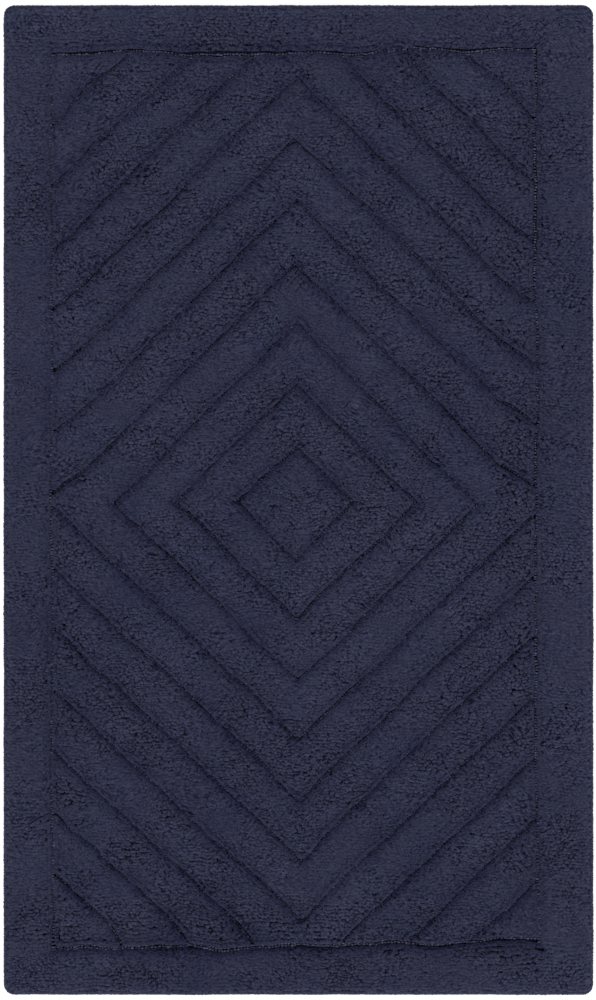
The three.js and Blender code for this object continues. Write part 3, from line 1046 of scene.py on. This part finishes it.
def pile_points(places, seed):
    """The points, tones and rises of every tuft at these places."""
    x, y, heading, tall_share, in_row = places.T
    count = len(x)
    chance = np.random.default_rng(seed)
    band, reach, out_x, out_y = walls(x, y)
    reach = np.maximum(reach, 0)
    near_edge = np.clip(1 - inset(x, y) / edge_reach, 0, 1)
    shaded = np.clip(out_y, 0, 1)  # how squarely a tuft leans away from the near side
    over_side = (np.abs(out_x) > square_on) & (reach < side_reach)
    over_end = np.abs(out_y) > square_on
    rough = roughness(x, y, band, reach, shaded, near_edge)
    blunt = 1 - rough
    stray_x, stray_y = wander(x, y)
    x, y = x - stray_x, y - stray_y

    # The foot stays on the cloth, and the end leans over the line, lies with the nap, and strays
    foot_x = x - np.sign(x) * np.maximum(np.abs(x) - (cad_high.x - foot_inset), 0)
    foot_y = y - np.sign(y) * np.maximum(np.abs(y) - (cad_high.y - foot_inset), 0)
    lean_out = lean_over(x, y, band, reach, over_side, over_end)
    step = gather_step
    gather_x = gather * rough * (clump(x + step, y) - clump(x - step, y))
    gather_y = gather * rough * (clump(x, y + step) - clump(x, y - step))
    free = 1 - near_edge
    nap_x = free * (nap_across * drift(x, y, *across_naps) + gather_x)
    nap_y = free * (nap_along * drift(x, y, *along_naps) + gather_y)
    slack = np.clip(chance.normal(0, 1, (2, count)), -stray_most, stray_most)
    slack = slack * loose * rough * (1 - row_tidy * in_row)
    crown_x = x + out_x * lean_out + nap_x + slack[0]
    crown_y = y + out_y * lean_out + nap_y + slack[1]

    # Its height, its width and its turn
    tall = pile_depth - shorn - sunk * np.exp(-reach / sunk_reach)
    tall = tall + ridge_swell * clump(x, y) * rough + hill_swell * drift(x, y, *hill_swells)
    tall = tall + chance.normal(0, shorn_change, count) * rough
    tall = np.clip(tall, tall_least * pile_depth, tall_most * pile_depth) * tall_share
    wide = chance.uniform(*tuft_wide, count) * (1 + blunt_wide * blunt)
    turn = heading + chance.normal(0, turn_change, count)

    # Its points: across and along the tuft, then turned, bent over and tilted
    ring = tuft_shape[None, :, :]
    height = ring[..., 2]
    shoulder = blunt[:, None] * (height > upper_half)
    spread_out = 1 + blunt_open * blunt[:, None] * (np.abs(height - tuft_crown) < 0.01)
    across = ring[..., 0] * spread_out * (tuft_long * wide)[:, None]
    along = ring[..., 1] * spread_out * (tuft_short * wide)[:, None]
    cos, sin = np.cos(turn)[:, None], np.sin(turn)[:, None]
    beyond_x = across * cos - along * sin
    beyond_y = across * sin + along * cos
    bend = height ** curve
    lift = height + (1 - height) * blunt_lift * shoulder
    tilted = tilt_share * np.exp(-reach / tilt_reach)
    tilt = (out_x * tilted)[:, None] * beyond_x + (out_y * tilted)[:, None] * beyond_y
    points = np.stack(
        [
            foot_x[:, None] + (crown_x - foot_x)[:, None] * bend + beyond_x,
            foot_y[:, None] + (crown_y - foot_y)[:, None] * bend + beyond_y,
            pile_floor + lift * tall[:, None] - tilt,
        ],
        2,
    )

    # Its tone, with painted light on one side of its end, and how high up each point looks, for the yarn's
    # painted shade
    tone = tuft_tone(chance, rough, near_edge, band, reach, over_side, over_end, shaded)
    facing = lit_turn * drift(x, y, *lit_turns)[:, None]
    lit = -(beyond_y * np.cos(facing) + beyond_x * np.sin(facing)) / tuft_short
    tone = tone[:, None] + lit_weight * rough[:, None] * lit
    rise = lift + (1 - lift) * blunt_light * shoulder
    rough = np.repeat(rough, tuft_shape.shape[0])
    return points, {"tone": tone.reshape(-1), "rise": rise.reshape(-1), "rough": rough}


pile_finish = yarn("pile_yarn", pile_colour, pile_fibre, pile_root_shade)
places = all_tufts()
place_band = walls(places[:, 0], places[:, 1])[0]


def pile_for(name, node, chosen, seed):
    """The pile of one field, of the tufts that are chosen."""
    points, numbers = pile_points(places[chosen], seed)
    piece = copies_mesh(name, tuft_shape, tuft_faces, points, numbers)
    piece.data.materials.append(pile_finish)
    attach(piece, "root")
    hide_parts(node)


def on_side(node):
    """Which tufts are on a node's side of the centre, from the words in its name."""
    tests = {
        "upper": places[:, 1] > 0,
        "lower": places[:, 1] <= 0,
        "right": places[:, 0] > 0,
        "left": places[:, 0] <= 0,
    }
    chosen = np.full(len(places), True)
    for word, test in tests.items():
        if word in node.split("_"):
            chosen &= test
    return chosen


pile_nodes = sorted(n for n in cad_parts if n.startswith("pile_") and n != "pile_border")
for seed, node in enumerate(pile_nodes, start=200):
    chosen = on_side(node) & (place_band == int(node.split("_")[2]))
    pile_for(node + "_tufts", node, chosen, seed)

# The border is one field, planted in four strips: the two ends, and the sides between them
above = places[:, 1] > frame_high.y
below = places[:, 1] < frame_low.y
strips = {"upper": above, "lower": below, "left": ~above & ~below, "right": ~above & ~below}
for seed, (side, within) in enumerate(strips.items(), start=300):
    name = f"pile_border_{side}_tufts"
    pile_for(name, "pile_border", on_side(name) & within & (place_band < 0), seed)


# ---------------------------------------------------------------------------------------------
# The latex coat. Thin rubber, spread on the back and cured, which holds every tuft in the cloth. The
# yarn's back stitches show in it as low ridges across the mat, with the navy coming through.

latex_colour = (0.5, 0.49, 0.43)
latex_over_yarn = (0.2, 0.21, 0.27)
ridge_height = 0.28 * millimetre
latex_cuts = 24  # faces across the coat
speckle_width = 0.9 * millimetre
smear_width = 30 * millimetre


def pressed_sheet(name, low, high, across, along, pressed):
    """A closed flat sheet between two corners. pressed says how far points underneath are dented."""
    bpy.ops.object.select_all(action="DESELECT")
    middle = (low + high) / 2
    bpy.ops.mesh.primitive_grid_add(
        x_subdivisions=across, y_subdivisions=along, size=1, location=(middle.x, middle.y, low.z)
    )
    sheet = bpy.context.object
    sheet.name = name
    sheet.data.name = name
    sheet.scale = (high.x - low.x, high.y - low.y, 1)
    bpy.ops.object.transform_apply(location=True, rotation=False, scale=True)
    bpy.ops.object.mode_set(mode="EDIT")
    bpy.ops.mesh.select_all(action="SELECT")
    rise = (0, 0, high.z - low.z)
    bpy.ops.mesh.extrude_region_move(TRANSFORM_OT_translate={"value": rise})
    bpy.ops.mesh.select_all(action="SELECT")
    bpy.ops.mesh.normals_make_consistent(inside=False)
    bpy.ops.object.mode_set(mode="OBJECT")
    count = len(sheet.data.vertices)
    points = np.empty(count * 3, dtype=np.float32)
    sheet.data.vertices.foreach_get("co", points)
    points = points.reshape(-1, 3)
    underneath = points[:, 2] < middle.z
    points[underneath, 2] += pressed(points[underneath, 0], points[underneath, 1])
    sheet.data.vertices.foreach_set("co", points.reshape(-1))
    sheet.data.update()
    return sheet


def softened(x, y, low, high, width, depth):
    """How far a sheet's lower edge is rounded up at points within a width of its outline."""
    inside_x = np.minimum(x - low.x, high.x - x)
    inside_y = np.minimum(y - low.y, high.y - y)
    inside = np.minimum(inside_x, inside_y)
    return depth * np.clip(1 - inside / width, 0, 1) ** 2


def latex_finish():
    """Thin rubber, with the back stitches' ridges and gaps showing through."""
    coat = Finish("latex_coat")
    where, x, y, _ = coat.place()
    ridge = (y * (math.pi / tuft_along)).wave().size()
    stitch = (x * (2 * math.pi / tuft_across) + (y / tuft_along).whole() * math.pi).wave()
    speckle = coat.noise(where, speckle_width, 3.0, 0.6)
    smear = coat.noise(where, smear_width, 3.0)
    thin = ridge * 0.55 + stitch * 0.16 + (speckle - 0.5) * 0.8 + (smear - 0.5) * 0.9 - 0.2
    colour = coat.mixed(thin, latex_colour, latex_over_yarn)
    relief = coat.bump(speckle + stitch * 0.3, 0.25 * millimetre)
    return coat.finished(colour, 0.55 + speckle * 0.25, relief)


latex_low, latex_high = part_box("latex_coat")
ridges = round((latex_high.y - latex_low.y) / tuft_along)


def latex_ridges(x, y):
    """How far the coat is dented at points underneath, at every other row of its points."""
    row = np.round((y - latex_low.y) / (latex_high.y - latex_low.y) * 2 * ridges)
    return ridge_height * (row % 2)


latex = pressed_sheet("latex_coat_sheet", latex_low, latex_high, latex_cuts, 2 * ridges, latex_ridges)
latex.data.materials.append(latex_finish())
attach(latex, "root")
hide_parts("latex_coat")


# ---------------------------------------------------------------------------------------------
# The hem. Four lengths of folded herringbone cotton tape cover the cloth's cut edge from below. They
# are mitred at the corners, and two rows of stitches pull a shallow groove along each one.

tape_colour = (0.03, 0.033, 0.075)
herringbone = 4 * millimetre  # the width of one stripe of the weave
twill = 1.1 * millimetre
stitch_pitch = 5 * millimetre
tape_faces = 14  # across a tape
groove_depth = 0.4 * millimetre
groove_reach = 1.1 * millimetre  # half of a groove's width
groove_change = 0.2  # the share of its depth that comes and goes from hole to hole
tape_edge = 1.8 * millimetre  # a fold's rounding: how far in and how far up
tape_round = 0.45 * millimetre
thread_low, thread_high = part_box("hem_thread_outer")
inner_low, inner_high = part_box("hem_thread_inner")
thread_width = 0.7 * millimetre
mitre_gap = 0.15 * millimetre


def row_distance(x, y, low, high):
    """How far points are from a rectangle's outline."""
    past_x = np.abs(x) - (high.x - low.x) / 2
    past_y = np.abs(y) - (high.y - low.y) / 2
    outside = np.hypot(np.maximum(past_x, 0), np.maximum(past_y, 0))
    return np.abs(outside + np.minimum(np.maximum(past_x, past_y), 0))


def stitch_groove(x, y):
    """How deep the stitches pull the tape in at a point, most at each needle hole."""
    across = np.minimum(
        row_distance(x, y, thread_low, thread_high),
        row_distance(x, y, inner_low, inner_high),
    )
    tight = 1 - groove_change + groove_change * np.cos(2 * np.pi * (x + y) / stitch_pitch)
    return groove_depth * tight * np.exp(-((across / groove_reach) ** 2))


def tape_finish(name, runs_along_x):
    """Herringbone weave: stripes of slanting ribs that run along the tape."""
    cloth = Finish(name)
    where, x, y, _ = cloth.place()
    along, across = (x, y) if runs_along_x else (y, x)
    stripe = (across / herringbone).fraction()
    slant = along + (stripe - 0.5).size() * (2 * herringbone)
    rib = (slant * (2 * math.pi / twill)).wave()
    fade = cloth.noise(where, 0.03, 3.0)
    fluff = cloth.noise(where, 0.7 * millimetre, 2.0)
    # Painted light: each rib is lighter along its raised top, darker between
    tone = 0.75 + rib * 0.16 + (fade - 0.5) * 0.5 + (fluff - 0.5) * 0.4
    relief = cloth.bump(rib * 0.5 + fluff * 0.5, 0.2 * millimetre)
    return cloth.finished(cloth.scaled(tape_colour, tone), 0.84 + fluff * 0.1, relief, 0.1)


def hem_tape(side):
    """One length of tape, with its fold rounded, its grooves pulled in and its ends mitred."""
    node = "hem_tape_" + side
    low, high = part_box(node)
    runs_along_x = high.x - low.x > high.y - low.y
    length = max(high.x - low.x, high.y - low.y)
    steps = round(length / stitch_pitch * 2)
    tape = pressed_sheet(
        node + "_cloth",
        low,
        high,
        steps if runs_along_x else tape_faces,
        tape_faces if runs_along_x else steps,
        lambda x, y: stitch_groove(x, y) + softened(x, y, low, high, tape_edge, tape_round),
    )
    middle = (low + high) / 2
    width = min(high.x - low.x, high.y - low.y)
    run, inwards = Vector((1, 0, 0)), Vector((0, -math.copysign(1, low.y), 0))
    if not runs_along_x:
        run, inwards = Vector((0, 1, 0)), Vector((-math.copysign(1, low.x), 0, 0))
    for end in (-1, 1):
        onwards = run * end
        corner = middle + onwards * (length / 2 - width) + inwards * width / 2
        slope_out = (onwards + inwards).normalized()
        bpy.ops.object.mode_set(mode="EDIT")
        bpy.ops.mesh.select_all(action="SELECT")
        bpy.ops.mesh.bisect(
            plane_co=corner - slope_out * mitre_gap,
            plane_no=slope_out,
            use_fill=True,
            clear_outer=True,
        )
        bpy.ops.object.mode_set(mode="OBJECT")
    tape.data.materials.append(tape_finish(node, runs_along_x))
    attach(tape, "root")
    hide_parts(node)
    return tape


tapes = [hem_tape(side) for side in ("left", "right", "upper", "lower")]


# ---------------------------------------------------------------------------------------------
# The hem's stitches. Navy cotton thread in two rows, one near each edge of the tape. Each stitch
# comes out of one needle hole and goes back in at the next.

thread_colour = (0.03, 0.033, 0.07)
stitch_length = 3.9 * millimetre
stitch_end = 0.7 * millimetre  # at each end the thread turns up into the tape over this length
stitch_rise = 0.6  # it turns up by this share of its width
stitch_tip = 0.55  # and is drawn in to this share
thread_twist = 0.45 * millimetre
stitch_turn = 0.04  # in radians
stitch_longer = (0.93, 1.05)


def one_stitch():
    """One stitch at the origin, along X: a thread's belly, with both ends drawn in and turned up."""
    bpy.ops.object.select_all(action="DESELECT")
    belly = stitch_length - 2 * stitch_end
    bpy.ops.mesh.primitive_cylinder_add(
        vertices=5, radius=thread_width / 2, depth=belly, rotation=(0, math.pi / 2, 0)
    )
    stitch = bpy.context.object
    bpy.ops.object.transform_apply(location=False, rotation=True, scale=False)
    for end in (-1, 1):
        for face in stitch.data.polygons:
            face.select = face.normal.x * end > 0.9
        bpy.ops.object.mode_set(mode="EDIT")
        bpy.ops.mesh.select_mode(type="FACE")
        turn_up = (end * stitch_end, 0, stitch_rise * thread_width)
        bpy.ops.mesh.extrude_region_move(TRANSFORM_OT_translate={"value": turn_up})
        bpy.ops.transform.resize(value=(1, stitch_tip, stitch_tip))
        bpy.ops.mesh.select_all(action="DESELECT")
        bpy.ops.object.mode_set(mode="OBJECT")
    return stitch


def thread_finish():
    """Spun thread, with its twist running slantwise round it."""
    thread = Finish("sewing_thread")
    where, x, y, z = thread.place()
    twist = ((x + y + z) * (2 * math.pi / thread_twist)).wave()
    lint = thread.noise(where, 0.5 * millimetre, 2.0)
    # Painted light: the twist's ridges are lighter than its grooves
    tone = 0.75 + twist * 0.18 + (lint - 0.5) * 0.4
    relief = thread.bump(twist * 0.5 + lint * 0.3, 0.08 * millimetre)
    return thread.finished(thread.scaled(thread_colour, tone), 0.5 + lint * 0.2, relief, 0.05)


def stitches(node, finish, seed):
    """A row of stitches round the rectangle that a node's thread follows."""
    low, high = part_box(node)
    half = Vector((thread_width / 2, thread_width / 2, 0))
    low, high = low + half, high - half
    corners = ((low.x, low.y), (high.x, low.y), (high.x, high.y), (low.x, high.y))
    sides = [straight_line(corners[n], corners[(n + 1) % 4], stitch_pitch) for n in range(4)]
    x, y, heading = np.concatenate(sides).T
    chance = np.random.default_rng(seed)
    turn = heading + chance.normal(0, stitch_turn, len(x))
    longer = chance.uniform(*stitch_longer, len(x))
    across = stitch_shape[None, :, 0] * longer[:, None]
    along = stitch_shape[None, :, 1]
    cos, sin = np.cos(turn)[:, None], np.sin(turn)[:, None]
    height = (low.z + high.z) / 2 + np.broadcast_to(stitch_shape[None, :, 2], across.shape)
    points = np.stack(
        [x[:, None] + across * cos - along * sin, y[:, None] + across * sin + along * cos, height], 2
    )
    row = copies_mesh(node + "_stitches", stitch_shape, stitch_faces, points, {})
    row.data.materials.append(finish)
    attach(row, "root")
    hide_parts(node)
    return row


stitch_shape, stitch_faces = shape_of(one_stitch())
thread = thread_finish()
rows_of_stitches = [stitches("hem_thread_outer", thread, 71), stitches("hem_thread_inner", thread, 72)]


# ---------------------------------------------------------------------------------------------
# The care label: a short length of white satin ribbon, left blank, with one end under the hem tape.

label_colour = (0.8, 0.79, 0.76)
label_curl = 0.15 * millimetre
label_waves = (260, 190)  # radians to the metre, across and along
label_edge = 2 * millimetre
label_cuts = (20, 14)
floats_across = 0.5 * millimetre
floats_along = 0.4 * millimetre


def label_finish():
    """White satin: long floats of thread, shifted from row to row."""
    satin = Finish("label_satin")
    where, x, y, _ = satin.place()
    floats = (x * (2 * math.pi / floats_across) + (y / floats_along).whole() * 1.9).wave()
    crease = satin.noise(where, 8 * millimetre, 2.0)
    # Painted light: the floats' tops and the creases' raised parts are lighter, their hollows darker
    tone = 0.93 + floats * 0.04 + (crease - 0.5) * 0.12
    relief = satin.bump(floats * 0.3 + crease, 0.06 * millimetre)
    return satin.finished(satin.scaled(label_colour, tone), 0.38 + crease * 0.15, relief, 0.1)


label_low, label_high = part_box("care_label")


def label_waver(x, y):
    """How far the ribbon curls up at points underneath."""
    wave_x = np.sin((x - label_low.x) * label_waves[0])
    wave_y = np.sin((y - label_low.y) * label_waves[1])
    curl = label_curl * (1 + wave_x * wave_y) * 0.5
    return curl + softened(x, y, label_low, label_high, label_edge, label_curl)


label = pressed_sheet("care_label_ribbon", label_low, label_high, *label_cuts, label_waver)
label.data.materials.append(label_finish())
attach(label, "root")
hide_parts("care_label")
